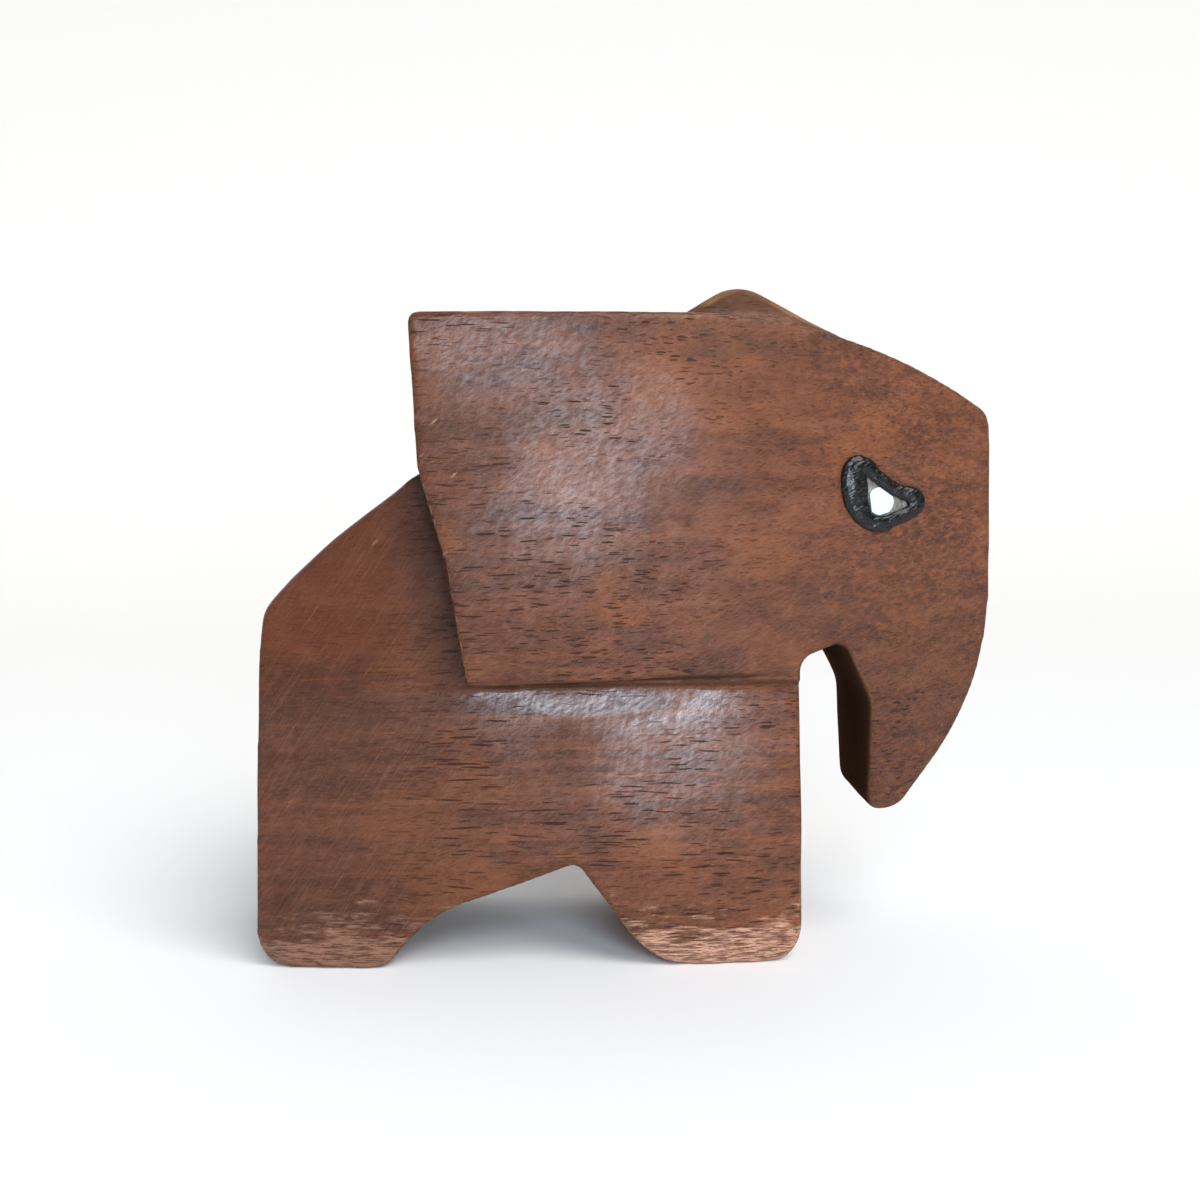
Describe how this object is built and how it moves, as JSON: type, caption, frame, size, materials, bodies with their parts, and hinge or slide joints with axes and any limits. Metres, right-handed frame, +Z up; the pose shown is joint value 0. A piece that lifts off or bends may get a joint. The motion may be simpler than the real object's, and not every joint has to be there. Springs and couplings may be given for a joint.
{
  "type": "carved wooden elephant figurine",
  "caption": "Small ornamental elephant carved from a block of wood, with slab legs, plate ears above a sloped back, a hanging trunk and inlaid black-rimmed eyes",
  "frame": {"origin": "the middle of the bounding box in plan, on the plane of the soles", "axes": "+X forward to the trunk, +Y to the elephant's left, +Z up"},
  "size_m": [0.1, 0.0518, 0.0911],
  "materials": {
    "oiled_wood": "satin",
    "black_lacquer": "gloss",
    "grey_chip": "satin",
    "pale_enamel": "gloss"
  },
  "bodies": {
    "root": {"carving": "oiled_wood", "eye_rim_right": "black_lacquer", "eye_rim_left": "black_lacquer", "eye_inlay_right": "grey_chip", "eye_inlay_left": "grey_chip", "eye_white_right": "pale_enamel", "eye_white_left": "pale_enamel"}
  },
  "joints": []
}
